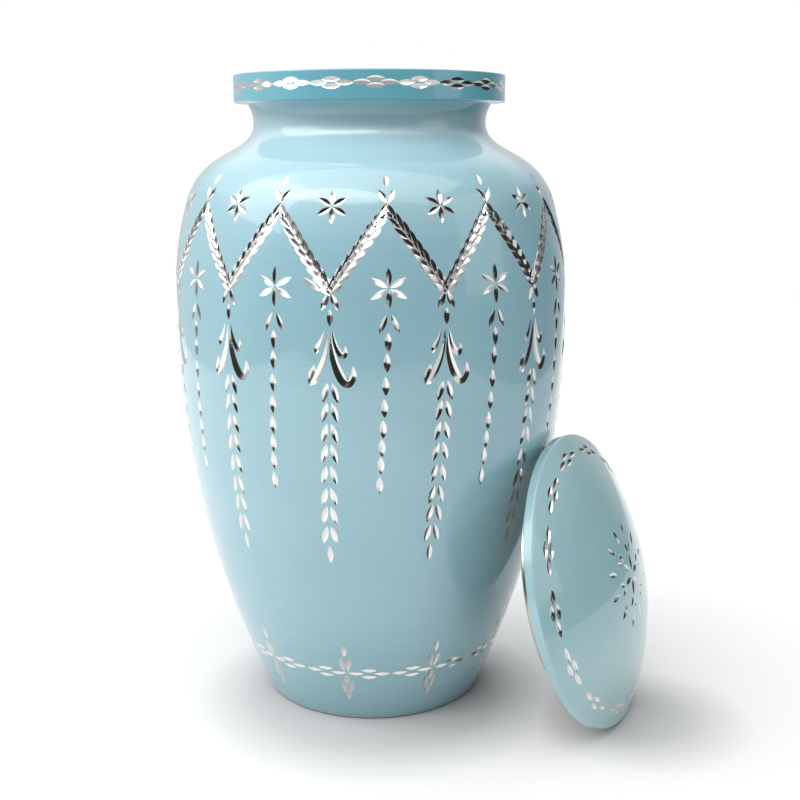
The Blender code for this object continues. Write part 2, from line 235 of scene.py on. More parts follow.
def gloss_enamel(name, dark, light):
    """Pale blue baked enamel over spun aluminium: deep gloss with a clear top, faint turning rings that
    show through, and the slight orange peel of a sprayed coat. It is paler in the hollow of the vessel's
    neck, as painted light where the rim shades the neck, and a darker blue from the hollow under the rim up
    over the rim, as painted shade under the rim."""
    material, tree = new_material(name)
    ring = rings(tree, ENAMEL_RING, 0.6)
    spot = add_node(tree, "ShaderNodeTexCoord").outputs["Object"]
    peel = add_node(tree, "ShaderNodeTexNoise", {"Vector": spot, "Scale": PEEL, "Detail": 1.0})
    cloud = add_node(tree, "ShaderNodeTexNoise", {"Vector": spot, "Scale": CLOUD, "Detail": 2.0})
    shade = add_node(tree, "ShaderNodeMath", {0: ring.outputs[0], 1: cloud.outputs[0]},
                     operation="MULTIPLY")
    colour = add_node(tree, "ShaderNodeValToRGB", {0: shade.outputs[0]})
    colour.color_ramp.elements[0].position = 0.1
    colour.color_ramp.elements[0].color = linear(dark)
    colour.color_ramp.elements[1].position = 0.45
    colour.color_ramp.elements[1].color = linear(light)
    height = add_node(tree, "ShaderNodeSeparateXYZ", {0: spot}).outputs[2]
    # painted light: the enamel turns paler up the neck's hollow, which the rim shades from the light above
    hollow = add_node(tree, "ShaderNodeMapRange", {0: height, 1: PAINTED_LIGHT_FROM, 2: PAINTED_LIGHT_TO, 3: 0.0, 4: 1.0},
                      interpolation_type="SMOOTHSTEP")
    painted_light_mix = add_node(tree, "ShaderNodeMix", {
        0: hollow.outputs[0], 6: colour.outputs[0], 7: linear("#ACCFD8")}, data_type="RGBA")
    # painted shade: a darker blue from the hollow under the rim up over the rim band
    painted_shade_mask = add_node(tree, "ShaderNodeMapRange", {0: height, 1: PAINTED_SHADE_FROM, 2: PAINTED_SHADE_TO, 3: 0.0, 4: 1.0},
                     interpolation_type="SMOOTHSTEP")
    deep = add_node(tree, "ShaderNodeMix", {
        0: painted_shade_mask.outputs[0], 6: painted_light_mix.outputs[2], 7: linear("#62ABBC")}, data_type="RGBA")
    relief = add_node(tree, "ShaderNodeBump", {
        "Height": peel.outputs[0], "Strength": 0.05, "Distance": 0.0004})
    lines = add_node(tree, "ShaderNodeBump", {
        "Height": ring.outputs[0], "Strength": 0.03, "Distance": 0.0003, "Normal": relief.outputs[0]})
    shader = add_node(tree, "ShaderNodeBsdfPrincipled", {
        "Base Color": deep.outputs[2], "Metallic": 0.0, "Roughness": 0.45, "Specular IOR Level": 1.0,
        "Coat Weight": 1.0, "Coat Roughness": 0.04, "Coat IOR": 1.55,
        "Normal": lines.outputs[0], "Coat Normal": relief.outputs[0]})
    add_node(tree, "ShaderNodeOutputMaterial", {0: shader.outputs[0]})
    return material


def bright_cut(name):
    """Aluminium cut bright with a polished tool: a mirror that flashes white or black, with fine
    chatter across each cut."""
    material, tree = new_material(name)
    spot = add_node(tree, "ShaderNodeTexCoord").outputs["Object"]
    chatter = add_node(tree, "ShaderNodeTexNoise", {"Vector": spot, "Scale": CHATTER, "Detail": 2.0})
    relief = add_node(tree, "ShaderNodeBump", {
        "Height": chatter.outputs[0], "Strength": 0.10, "Distance": 0.0003})
    colour = add_node(tree, "ShaderNodeValToRGB", {0: chatter.outputs[0]})
    colour.color_ramp.elements[0].color = linear("#D3D2D0")
    colour.color_ramp.elements[1].color = linear("#E9E8E6")
    shader = add_node(tree, "ShaderNodeBsdfPrincipled", {
        "Base Color": colour.outputs[0], "Metallic": 1.0, "Roughness": 0.12, "Normal": relief.outputs[0]})
    add_node(tree, "ShaderNodeOutputMaterial", {0: shader.outputs[0]})
    return material


def turned_aluminium(name, spacing, dark, light, roughness):
    """Bare turned aluminium: grey metal with the tool's fine rings, which blur what it mirrors."""
    material, tree = new_material(name)
    ring = rings(tree, spacing, 1.2)
    colour = add_node(tree, "ShaderNodeValToRGB", {0: ring.outputs[0]})
    colour.color_ramp.elements[0].position = 0.3
    colour.color_ramp.elements[0].color = linear(dark)
    colour.color_ramp.elements[1].position = 0.7
    colour.color_ramp.elements[1].color = linear(light)
    relief = add_node(tree, "ShaderNodeBump", {
        "Height": ring.outputs[0], "Strength": 0.25, "Distance": 0.0003})
    shader = add_node(tree, "ShaderNodeBsdfPrincipled", {
        "Base Color": colour.outputs[0], "Metallic": 1.0, "Roughness": roughness,
        "Normal": relief.outputs[0]})
    add_node(tree, "ShaderNodeOutputMaterial", {0: shader.outputs[0]})
    return material


def rounding(centre, start, end, radius=EDGE, steps=4):
    """An arc of a circle round the centre, from the start angle to the end angle in degrees."""
    angle = np.radians(np.linspace(start, end, steps + 1))
    return np.stack([centre[0] + radius * np.cos(angle), centre[1] + radius * np.sin(angle)], axis=1)


def flank(z):
    """Radius below the belly: the belly's, less a square of the share of height still to go."""
    return BELLY_RADIUS - (BELLY_RADIUS - FOOT_RADIUS) * (1 - z / FLANK_HEIGHT) ** 2


def vessel_side():
    """Rows (radius, height) up the enamelled side: the flank, then a shoulder that drops by a power of
    the share of its height, then a cubic curve into the throat, and the flare under the rim."""
    z = np.linspace(BARE_FOOT, FLANK_HEIGHT, FLANK_ROWS)
    low = np.stack([flank(z), z], axis=1)
    share = np.linspace(0, 1, SHOULDER_ROWS + 1)[1:]
    shoulder = np.stack([BELLY_RADIUS - SHOULDER_DROP * share**SHOULDER_POWER,
                         FLANK_HEIGHT + SHOULDER_HEIGHT * share], axis=1)
    tangent = np.array((-SHOULDER_DROP * SHOULDER_POWER / SHOULDER_HEIGHT, 1))
    tangent /= np.hypot(*tangent)
    end = np.array((THROAT_RADIUS, RIM_Z - FLARE_HEIGHT))
    handles = np.array((shoulder[-1], shoulder[-1] + tangent * SHOULDER_TURN, end - (0, NECK_HOLLOW), end))
    t = np.linspace(0, 1, NECK_ROWS + 1)[1:, None]
    neck = ((1 - t) ** 3 * handles[0] + 3 * t * (1 - t) ** 2 * handles[1]
            + 3 * t**2 * (1 - t) * handles[2] + t**3 * handles[3])
    share = np.linspace(0, 1, FLARE_ROWS + 1)[1:, None]
    flare = end + share * (FLARE, FLARE_HEIGHT - EDGE)
    flare[:, 0] += FLARE * (share[:, 0] ** 2 - share[:, 0])
    return np.concatenate([low, shoulder, neck, flare])


def vessel_rim():
    """Rows round the rim: a hollow corner under it, then its rounded band up to the top edge."""
    corner = rounding((THROAT_RADIUS + FLARE + EDGE, RIM_Z - EDGE), 180, 90, steps=3)
    low = rounding((RIM_RADIUS - EDGE, RIM_Z + EDGE), -90, 0)
    top = rounding((RIM_RADIUS - EDGE, HEIGHT - EDGE), 0, 90)
    band = np.stack([np.full(5, RIM_RADIUS), np.linspace(RIM_Z + EDGE, HEIGHT - EDGE, 7)[1:-1]], axis=1)
    return np.concatenate([corner, low, band, top])


def thread(radius, start, end):
    """Rows along a threaded wall, eight to each turn of the thread. Its ripple is put on later."""
    rows = int(round(abs(end - start) / THREAD_PITCH * 8))
    return np.stack([np.full(rows + 1, radius), np.linspace(start, end, rows + 1)], axis=1)


def vessel_inside():
    """Rows down the inside below the seat: the side set in by the wall along its normal, a cove at
    the bottom, and the floor."""
    side = vessel_side()
    side = side[side[:, 1] < RIM_Z - FLARE_HEIGHT + 0.1]
    slope = np.gradient(side[:, 0], side[:, 1])
    spread = np.hypot(1, slope)
    inner = np.stack([side[:, 0] - WALL / spread, side[:, 1] + WALL * slope / spread], axis=1)
    inner = inner[(inner[:, 1] > 2.5 * FLOOR_THICKNESS)][::-2]
    throat = THROAT_RADIUS - WALL
    lip = rounding((throat + EDGE, HEIGHT - SEAT_DEPTH - EDGE), 90, 180)
    cove = flank(FLOOR_THICKNESS) - 2 * WALL
    turn = np.array([(inner[-1, 0] - 1.2, inner[-1, 1] - 2.6), (cove + 0.9, FLOOR_THICKNESS + 0.7)])
    floor = np.array([(cove * share, FLOOR_THICKNESS) for share in (1, 0.66, 0.33)])
    return np.concatenate([lip, [(throat, RIM_Z - FLARE_HEIGHT)], inner[1:], turn, floor])


def lid_dome(radius):
    """Height of the dome: it falls from the middle by a power of the share of the radius."""
    return LID_BAND + LID_DOME * (1 - (radius / LID_RADIUS) ** LID_DOME_POWER)


def band_table(*bands):
    """Joins bands of rows, each with its material's number, into rows and one number per gap."""
    rows = np.concatenate([band for band, _ in bands])
    finish = np.concatenate([np.full(len(band), number) for band, number in bands])
    keep = np.append(True, np.hypot(*np.diff(rows, axis=0).T) > 1e-4)
    return rows[keep], finish[keep][1:]


def row_leans(rows):
    """Outward direction (radial, up) at the lower and upper end of each gap: gaps that meet at under
    SOFT_ROWS share one, weighted by their lengths, so an edge's rounding blends into the flats."""
    step = np.diff(rows, axis=0)
    length = np.hypot(*step.T)
    own = np.stack([step[:, 1], -step[:, 0]], axis=1) / length[:, None]
    mixed = own[:-1] * length[:-1, None] + own[1:] * length[1:, None]
    mixed /= np.hypot(*mixed.T)[:, None]
    soft = (own[:-1] * own[1:]).sum(axis=1) > np.cos(np.radians(SOFT_ROWS))
    low, high = own.copy(), own.copy()
    low[1:][soft] = mixed[soft]
    high[:-1][soft] = mixed[soft]
    return low, high


def turned_mesh(name, rows, finish, materials, threaded):
    """A turned solid: each row is a circle, x = r sin a and y = -r cos a, and the ends are poles.

    Threaded is the lower and upper height and the radius of a threaded wall. Its rows ripple as a
    helix: the radius follows a sine of height / pitch - a / 2 pi. The map "run" holds the share of a
    turn and the length along the rows, and "lean" the outward direction, for the normals after the
    cutting.
    """
    angle = 2 * np.pi * np.arange(COLUMNS) / COLUMNS
    radius = np.repeat(rows[1:-1, :1], COLUMNS, axis=1)
    height = np.repeat(rows[1:-1, 1:], COLUMNS, axis=1)
    bottom_z, top_z, wall_radius = threaded
    on_wall = np.abs(rows[1:-1, 0] - wall_radius) < 0.3
    on_wall &= (rows[1:-1, 1] > bottom_z + 0.1) & (rows[1:-1, 1] < top_z - 0.1)
    wave = np.sin(2 * np.pi * (height[on_wall] / THREAD_PITCH) - angle)
    radius[on_wall] += THREAD_DEPTH / 2 * wave
    ring = np.stack([radius * np.sin(angle), -radius * np.cos(angle), height], axis=2).reshape(-1, 3)
    points = np.concatenate([ring, [(0, 0, rows[0, 1]), (0, 0, rows[-1, 1])]])

    here = np.arange(COLUMNS)
    after = (here + 1) % COLUMNS
    first = np.arange(len(rows) - 3)[:, None] * COLUMNS
    corners = [first + here, first + after, first + COLUMNS + after, first + COLUMNS + here]
    quads = np.stack(corners, axis=2).reshape(-1, 4)
    last = (len(rows) - 3) * COLUMNS
    bottom = np.stack([np.full(COLUMNS, len(ring)), after, here], axis=1)
    top = np.stack([last + here, last + after, np.full(COLUMNS, len(ring) + 1)], axis=1)

    mesh = bpy.data.meshes.new(name)
    mesh.from_pydata((points * 0.001).tolist(), [], quads.tolist() + bottom.tolist() + top.tolist())
    for material in materials:
        mesh.materials.append(material)
    slots = np.repeat(np.append(finish[1:-1], (finish[0], finish[-1])), COLUMNS)
    mesh.polygons.foreach_set("material_index", slots.astype(np.int32))

    along = np.append(0, np.cumsum(np.hypot(*np.diff(rows, axis=0).T)))
    low, high = row_leans(rows)
    step = 1 / COLUMNS
    share = here / COLUMNS
    gap = np.repeat(np.arange(1, len(rows) - 2), COLUMNS)
    column = np.tile(share, len(rows) - 3)
    zero, one = np.full(COLUMNS, along[0]), np.full(COLUMNS, along[1])
    far, end = np.full(COLUMNS, along[-2]), np.full(COLUMNS, along[-1])
    run = [
        [(column, along[gap]), (column + step, along[gap]),
         (column + step, along[gap + 1]), (column, along[gap + 1])],
        [(share + step / 2, zero), (share + step, one), (share, one)],
        [(share, far), (share + step, far), (share + step / 2, end)],
    ]
    run = [np.stack([np.stack(pair, axis=1) for pair in part], axis=1) for part in run]
    lean = [
        np.stack([low[gap], low[gap], high[gap], high[gap]], axis=1),
        np.broadcast_to(np.array([low[0], high[0], high[0]]), (COLUMNS, 3, 2)),
        np.broadcast_to(np.array([low[-1], low[-1], high[-1]]), (COLUMNS, 3, 2)),
    ]
    for label, parts in (("run", run), ("lean", lean)):
        layer = mesh.uv_layers.new(name=label)
        flat = np.concatenate([part.reshape(-1) for part in parts])
        layer.uv.foreach_set("vector", flat.astype(np.float32))
    return mesh


def surface_table(rows):
    """Length along the rows, with the radius, the height and the outward direction at each."""
    rows = rows[np.append(True, np.hypot(*np.diff(rows, axis=0).T) > 1e-4)]
    along = np.append(0, np.cumsum(np.hypot(*np.diff(rows, axis=0).T)))
    slope = np.gradient(rows, along, axis=0)
    slope /= np.hypot(*slope.T)[:, None]
    return along, rows[:, 0], rows[:, 1], slope[:, 1], -slope[:, 0]


def surface_frame(table, angle, along):
    """Point on the surface at an angle in radians from the front, and its outward direction."""
    radius, height, out, up = (np.interp(along, table[0], column) for column in table[1:])
    size = np.hypot(out, up)
    point = np.stack([radius * np.sin(angle), -radius * np.cos(angle), height], axis=-1)
    normal = np.stack([out * np.sin(angle), -out * np.cos(angle), up], axis=-1) / size[..., None]
    return point, normal


def groove(table, angle, along, half_width, keel_shift=0.0, flank_rise=FLANK_RISE):
    """V grooves along paths on a surface, one per row of the arrays: the cutter's edges stand proud
    of the surface on both sides of the path, and its keel runs below it by the half width times the
    flank's rise, shifted across by a share of the half width. The first and last station of each
    path are its tips, where all three meet."""
    point, normal = surface_frame(table, angle, along)
    heading = np.gradient(point, axis=1)
    across = np.cross(normal, heading)
    across /= np.linalg.norm(across, axis=2)[..., None]
    half_width = half_width[..., None]
    top = point + normal * PROUD
    spread = half_width + PROUD / flank_rise
    left = (top - across * spread)[:, 1:-1]
    right = (top + across * spread)[:, 1:-1]
    keel = (point - normal * half_width * flank_rise + across * half_width * keel_shift)[:, 1:-1]
    points = np.concatenate([top[:, :1], top[:, -1:], left, right, keel], axis=1)

    count = left.shape[1]
    first = np.arange(2, 2 + count - 1)
    sides = []
    for a, b in ((0, 2), (2, 1), (1, 0)):
        near, far = first + a * count, first + b * count
        sides.append(np.stack([near, far, far + 1, near + 1], axis=1))
    quads = np.concatenate(sides)
    starts = 2 + count * np.arange(3)
    ends = starts + count - 1
    tips = [(0, starts[a], starts[b]) for a, b in ((0, 1), (1, 2), (2, 0))]
    tips += [(1, ends[b], ends[a]) for a, b in ((0, 1), (1, 2), (2, 0))]
    return points, quads, np.array(tips)


def leaves(table, angle, along, length, width, turn, keel_shift=0.0, flank_rise=FLANK_RISE, stations=7):
    """Pointed cuts: the half width falls from the middle as one less the square of the share of the
    half length. Turn is in degrees from up the side towards the right. The cutter is longer than the
    leaf by as much as it stands proud."""
    sizes = np.broadcast_arrays(*(np.asarray(size, float) for size in (angle, along, length, width, turn)))
    angle, along, length, width, turn = (size.reshape(-1, 1) for size in sizes)
    reach = np.sqrt(1 + 2 * PROUD / (flank_rise * width))
    share = np.linspace(-1, 1, stations + 2) * reach
    forward = share * length / 2
    turn = np.radians(turn)
    up = along + forward * np.cos(turn)
    round_by = forward * np.sin(turn) / np.interp(up, table[0], table[1])
    half_width = width / 2 * (1 - share**2)
    return groove(table, np.radians(angle) + round_by, up, half_width, keel_shift, flank_rise)


def height_on(table, z):
    """Length along the rows at this height."""
    return np.interp(z, table[2], table[0])


class Cutters:
    """Cuts sorted into rounds. Cuts of one round don't touch, and the rounds are cut one by one."""

    def __init__(self):
        self.rounds = {}

    def add(self, number, pieces):
        self.rounds.setdefault(number, []).append(pieces)

    def meshes(self, material):
        for number, batches in sorted(self.rounds.items()):
            points, faces, start = [], [], 0
            for place, quads, tips in batches:
                count, size = place.shape[:2]
                base = start + np.arange(count)[:, None, None] * size
                points.append(place.reshape(-1, 3))
                faces += (quads[None] + base).reshape(-1, 4).tolist()
                faces += (tips[None] + base).reshape(-1, 3).tolist()
                start += count * size
            mesh = bpy.data.meshes.new("round")
            mesh.from_pydata((np.concatenate(points) * 0.001).tolist(), [], faces)
            mesh.materials.append(material)
            sorted_out = bmesh.new()
            sorted_out.from_mesh(mesh)
            bmesh.ops.recalc_face_normals(sorted_out, faces=sorted_out.faces)
            sorted_out.to_mesh(mesh)
            sorted_out.free()
            for label in ("run", "lean"):
                mesh.uv_layers.new(name=label)
            yield mesh


def cut_and_finish(name, mesh, cutters, cut_material, pose):
    """Cuts the rounds out, sets the finished mesh in its place, and gives it its normals: the turned
    surface keeps its own smooth ones, and each cut is smooth along and crisp at its edges and keel."""
    blank = link_object(name + "_blank", mesh)
    tools = []
    for tool_mesh in cutters.meshes(cut_material):
        tool = link_object("tool", tool_mesh)
        cut = blank.modifiers.new("cut", "BOOLEAN")
        cut.operation = "DIFFERENCE"
        cut.solver = "MANIFOLD"
        cut.material_mode = "TRANSFER"
        cut.object = tool
        tools.append(tool)
    done = bpy.data.meshes.new_from_object(blank.evaluated_get(bpy.context.evaluated_depsgraph_get()))
    for old in (blank, *tools):
        bpy.data.objects.remove(old)
    done.name = name
    done.validate()

    loops = len(done.loops)
    lean = np.empty(loops * 2, np.float32)
    done.uv_layers["lean"].uv.foreach_get("vector", lean)
    lean = lean.reshape(-1, 2)
    corner = np.empty(loops, np.int32)
    done.loops.foreach_get("vertex_index", corner)
    place = np.empty(len(done.vertices) * 3, np.float32)
    done.vertices.foreach_get("co", place)
    place = place.reshape(-1, 3)[corner]
    radius = np.maximum(np.hypot(place[:, 0], place[:, 1]), 1e-9)
    turned = np.stack([lean[:, 0] * place[:, 0] / radius, lean[:, 0] * place[:, 1] / radius,
                       lean[:, 1]], axis=1)
    turned /= np.maximum(np.linalg.norm(turned, axis=1), 1e-9)[:, None]

    work = bmesh.new()
    work.from_mesh(done)
    cut_slot = done.materials.find(cut_material.name)
    for edge in work.edges:
        kinds = {face.material_index == cut_slot for face in edge.link_faces}
        soft = edge.calc_face_angle(0) < math.radians(SOFT_CUTS)
        edge.smooth = kinds == {False} or (kinds == {True} and soft)
    for face in work.faces:
        face.smooth = True
    work.to_mesh(done)
    work.free()
    own = np.empty(loops * 3, np.float32)
    done.corner_normals.foreach_get("vector", own)
    own = own.reshape(-1, 3)
    totals = np.empty(len(done.polygons), np.int32)
    done.polygons.foreach_get("loop_total", totals)
    kind = np.empty(len(done.polygons), np.int32)
    done.polygons.foreach_get("material_index", kind)
    is_cut = np.repeat(kind, totals) == cut_slot
    normals = np.where(is_cut[:, None], own, turned)
    done.transform(pose)
    normals = normals @ np.array(pose.to_3x3()).T
    done.normals_split_custom_set(normals.tolist())
    done.uv_layers.remove(done.uv_layers["lean"])
    return link_object(name, done)


def garland(cutters, table, peak):
    """Laurel legs from the peak down to the valleys: rows of three leaves that point back up to the
    peak, the outer two spread from the middle one, and closer to it in the first rows. Rows next to
    each other, and the two legs, are cut in rounds of their own."""
    top, foot = height_on(table, GARLAND_TOP), height_on(table, GARLAND_FOOT)
    row = np.arange(GARLAND_ROWS)
    share = (row + 0.55) / GARLAND_ROWS
    along = top + (foot - top) * share
    spread = 1.3 * np.minimum(1, 0.3 + 0.35 * row)
    for side in (-1, 1):
        angle = peak + side * HALF_PITCH * share
        leg = -side * np.degrees(np.arctan2(np.radians(HALF_PITCH) * GARLAND_RADIUS, top - foot))
        slope = np.radians(leg)
        first = 4 if side > 0 else 0
        for parity in (0, 1):
            pick = row % 2 == parity
            cutters.add(first + parity, leaves(table, angle[pick], along[pick], 6.4, 2.1, leg, 0.35))
            for flank_side in (-1, 1):
                beside = flank_side * spread[pick]
                moved = angle[pick] + np.degrees(beside * np.cos(slope) / GARLAND_RADIUS)
                raised = along[pick] - beside * np.sin(slope) - 1.0
                cutters.add(first + 2 + parity, leaves(
                    table, moved, raised, 6.6, 2.2, leg + flank_side * 16, 0.35))


def stars(cutters, table, peak, valley):
    """Six petals round a centre, above each valley and below each peak."""
    for angle, z, petal in ((valley, 207.6, 5.9), (peak, 179.7, 7.0)):
        centre = height_on(table, z)
        out = petal / 2 + 0.35
        for number in range(6):
            turn = 60.0 * number
            side = np.radians(turn)
            moved = angle + np.degrees(out * np.sin(side) / STAR_RADIUS)
            cutters.add(number % 2, leaves(table, moved, centre + out * np.cos(side), petal, 2.1, turn))


def peak_and_valley(cutters, table, peak, valley):
    """A bead and two leaves on each peak, and two small leaves under each valley."""
    cutters.add(0, leaves(table, peak, height_on(table, 216.1), 4.6, 2.2, 0))
    above, under = height_on(table, 210.9), height_on(table, 175.0)
    for side in (-1, 1):
        cutters.add(1, leaves(table, peak + side * 1.15, above, 6.0, 2.3, side * 30, side * 0.4))
        cutters.add(1, leaves(table, valley + side * 1.25, under, 6.6, 2.4, side * -24, 0.25))


def stray_leaf(cutters, table):
    """One leaf out of line beside the garland's low point left of the front."""
    cutters.add(8, leaves(table, VALLEY_ANGLE - 4.9, height_on(table, 181.0), 8.2, 2.2, -55, -0.3))


def bead_string(cutters, table, peak):
    """A pair of leaves under the lower star, and eight beads, which drift 2.6 degrees to the left in
    60 mm."""
    for side in (-1, 1):
        cutters.add(1, leaves(table, peak + side * 1.55, height_on(table, 167.2), 7.4, 2.1, side * -22))
    z = np.array((160.8, 153.5, 145.1, 137.0, 129.3, 122.2, 115.5, 107.8))
    along = height_on(table, z)
    angle = peak - 2.6 * (168 - z) / 60
    for parity in (0, 1):
        cutters.add(2 * parity, leaves(table, angle[parity::2], along[parity::2], 7.1, 2.65, -1.5))


def leaf_string(cutters, table, valley):
    """Eight pairs of leaves and a last single one, which drift 2.4 degrees to the left in 70 mm."""
    z = np.array((142.5, 135.3, 127.5, 119.8, 111.5, 103.0, 95.5, 87.4))
    along = height_on(table, z)
    angle = valley - 2.4 * (150 - z) / 70
    for number, side, parity in ((0, -1, 0), (1, -1, 1), (2, 1, 0), (3, 1, 1)):
        cutters.add(number, leaves(table, angle[parity::2] + side * 1.3, along[parity::2],
                                   7.8, 2.4, side * -15))
    cutters.add(0, leaves(table, valley - 2.4, height_on(table, 79.3), 7.4, 2.4, 0))


def curl(table, centre, marks, keel_shift):
    """A stroke through marks of (degrees, height, width). Between two marks it follows the cubic whose
    ends have the slopes of their neighbours' chords, and its tips run to nothing."""
    marks = np.array(marks, float)
    marks = np.concatenate([[2 * marks[0] - marks[1]], marks, [2 * marks[-1] - marks[-2]]])
    t = np.linspace(0, 1, 4)[:-1, None, None]
    before, start, end, after = marks[:-3], marks[1:-2], marks[2:-1], marks[3:]
    path = 0.5 * (2 * start + (end - before) * t + (2 * before - 5 * start + 4 * end - after) * t**2
                  + (3 * start - before - 3 * end + after) * t**3)
    path = np.concatenate([path.transpose(1, 0, 2).reshape(-1, 3), marks[-2:-1]])
    half = path[:, 2] / 2
    half[[0, -1]] = -PROUD / FLANK_RISE
    along = height_on(table, path[None, :, 1])
    return groove(table, np.radians(centre + path[None, :, 0]), along, half[None], keel_shift)


def fleur(cutters, table, valley):
    """A bead over four curls, an upper and a lower one on each side. The right ones end in hooks, and
    a leaf stands on the end of the lower left one. The tool leaned to the left on all of them."""
    cutters.add(0, leaves(table, valley, height_on(table, 169.4), 6.2, 2.2, 0))
    cutters.add(2, leaves(table, valley - 5.0, height_on(table, 149.0), 7.6, 2.5, 16, 0.3))
    for number, keel_shift, marks in (
            (1, 0.45, ((-1.3, 165.8, 0), (-2.3, 161.6, 1.2), (-3.5, 158.4, 2.1), (-3.95, 156.4, 0))),
            (0, 0.45, ((-0.35, 165.8, 0), (-0.8, 160.0, 1.3), (-1.7, 154.8, 2.1), (-3.2, 149.9, 2.6),
                       (-4.8, 146.6, 2.4), (-5.7, 145.2, 0))),
            (2, 0.35, ((0.45, 165.8, 0), (1.2, 160.4, 1.5), (2.3, 157.0, 2.1), (3.3, 156.0, 2.3),
                       (3.9, 157.3, 1.7), (3.8, 160.0, 0))),
            (1, 0.35, ((0.1, 164.0, 0), (0.5, 157.0, 2.2), (1.5, 151.7, 3.1), (2.9, 147.5, 3.5),
                       (4.4, 146.0, 3.2), (5.5, 147.4, 2.6), (5.9, 149.6, 2.2), (5.7, 152.9, 0)))):
        cutters.add(number, curl(table, valley, marks, keel_shift))


def foot_band(cutters, table):
    """Ten crosses with two groups of four flat leaves between each pair."""
    centre = CROSS_ANGLE + 360.0 / CROSSES * np.arange(CROSSES)
    for z, length, width in ((35.7, 6.8, 2.5), (21.4, 6.0, 2.4), (13.1, 6.4, 2.4)):
        cutters.add(3, leaves(table, centre, height_on(table, z), length, width, 0))
    for side in (-1, 1):
        number = 4 + (side + 1) // 2
        cutters.add(number, leaves(table, centre + side * 1.2, height_on(table, 28.8), 7.8, 2.4, side * 9))
        cutters.add(number, leaves(table, centre + side * 1.6, height_on(table, 17.4), 7.4, 2.4, side * 9))
    for middle in (9.4, 27.4):
        flat_group(cutters, table, centre + middle, height_on(table, FOOT_BAND_Z), 5.3, 1.75, 6.4, 2.3)


def flat_group(cutters, table, angle, along, spread, rise, length, width, *tool):
    """Four leaves laid flat: one to the left and one to the right by the spread in degrees, and one
    above and one below between them by the rise in mm. The last two are as for leaves."""
    for side in (-1, 1):
        cutters.add(1 + side, leaves(table, angle + side * spread, along, length, width, 90, *tool))
        cutters.add(6 + side, leaves(table, angle, along + side * rise, length, width, 90, *tool))


def vessel_cuts(table):
    """The garlands and what hangs from them, then the bands round the foot and the rim. The tool
    leaned a little differently, and cut shallower, in each group of the rim."""
    cutters = Cutters()
    pitch = 360.0 / REPEATS
    for number in range(REPEATS):
        peak, valley = PEAK_ANGLE + pitch * number, VALLEY_ANGLE + pitch * number
        garland(cutters, table, peak)
        stars(cutters, table, peak, valley)
        peak_and_valley(cutters, table, peak, valley)
        bead_string(cutters, table, peak)
        leaf_string(cutters, table, valley)
        fleur(cutters, table, valley)
    stray_leaf(cutters, table)
    foot_band(cutters, table)
    number = np.arange(RIM_GROUPS)
    angle = RIM_GROUP_ANGLE + 360 / RIM_GROUPS * number
    lean = 0.6 * np.sin(2.4 * number + 1.0)[:, None, None]
    flat_group(cutters, table, angle, height_on(table, RIM_BAND_Z), 5.2, 1.2, 7.0, 2.1, lean, 0.31)
    return cutters


def lid_cuts(table):
    """A band of flat groups near the edge, six rays from the centre and six single leaves between.
    The rows run from the edge to the centre."""
    cutters = Cutters()
    band, tip, between, side_leaf, root = (
        np.interp(-radius, -table[1], table[0]) for radius in (LID_GROUP_RADIUS, 17.8, 16.8, 10.8, 4.7))
    group = LID_GROUP_ANGLE + 360 / LID_GROUPS * np.arange(LID_GROUPS)
    for side in (-1, 1):
        cutters.add(0, leaves(table, group + side * 6.6, band, 7.4, 2.2, 90, 0.3))
        cutters.add(1, leaves(table, group, band + side * 1.5, 6.6, 2.2, 90, 0.3))
    ray = LID_RAY_ANGLE + 360.0 / LID_RAYS * np.arange(LID_RAYS)
    cutters.add(0, leaves(table, ray, root, 6.4, 2.0, 0))
    cutters.add(0, leaves(table, ray, tip, 5.6, 1.8, 0))
    for side in (-1, 1):
        cutters.add((1 + side) // 2, leaves(table, ray + side * 7.5, side_leaf, 4.4, 1.7, side * -20))
    cutters.add(0, leaves(table, ray - 180 / LID_RAYS, between, 6.5, 2.1, 0))
    return cutters


def make_vessel(materials):
    """The hollow vessel: enamel up the side and over the rim, a bare line at the foot, a turned seat
    with the lid's thread, and raw spun metal inside."""
    enamel, bare, raw, bright = range(4)
    seat = HEIGHT - SEAT_DEPTH
    under = np.array([(0, 0), (FOOT_RADIUS * 0.4, 0), (FOOT_RADIUS * 0.8, 0), (FOOT_RADIUS - 0.8, 0)])
    edge = np.concatenate([rounding((FOOT_RADIUS - 0.5, 0.4), -90, -10, 0.4),
                           [(flank(BARE_FOOT), BARE_FOOT)]])
    top = np.array([(RIM_RADIUS - EDGE - 0.1, HEIGHT), (SEAT_RADIUS + 0.5, HEIGHT),
                    (SEAT_RADIUS, HEIGHT - 0.5)])
    wall = thread(SEAT_RADIUS, HEIGHT - 0.6, seat + 0.4)
    ledge = np.array([(SEAT_RADIUS, seat), (THROAT_RADIUS - WALL + EDGE, seat)])
    rows, finish = band_table((under, bare), (edge, bare), (vessel_side(), enamel), (vessel_rim(), enamel),
                              (top, bare), (wall, bare), (ledge, bare), (vessel_inside(), raw),
                              (np.array([(0, FLOOR_THICKNESS)]), raw))
    mesh = turned_mesh("vessel", rows, finish, materials, (seat, HEIGHT - 0.4, SEAT_RADIUS))
    outside = np.concatenate([vessel_side(), vessel_rim()])
    return cut_and_finish("vessel", mesh, vessel_cuts(surface_table(outside)), materials[bright],
                          Matrix.Identity(4))


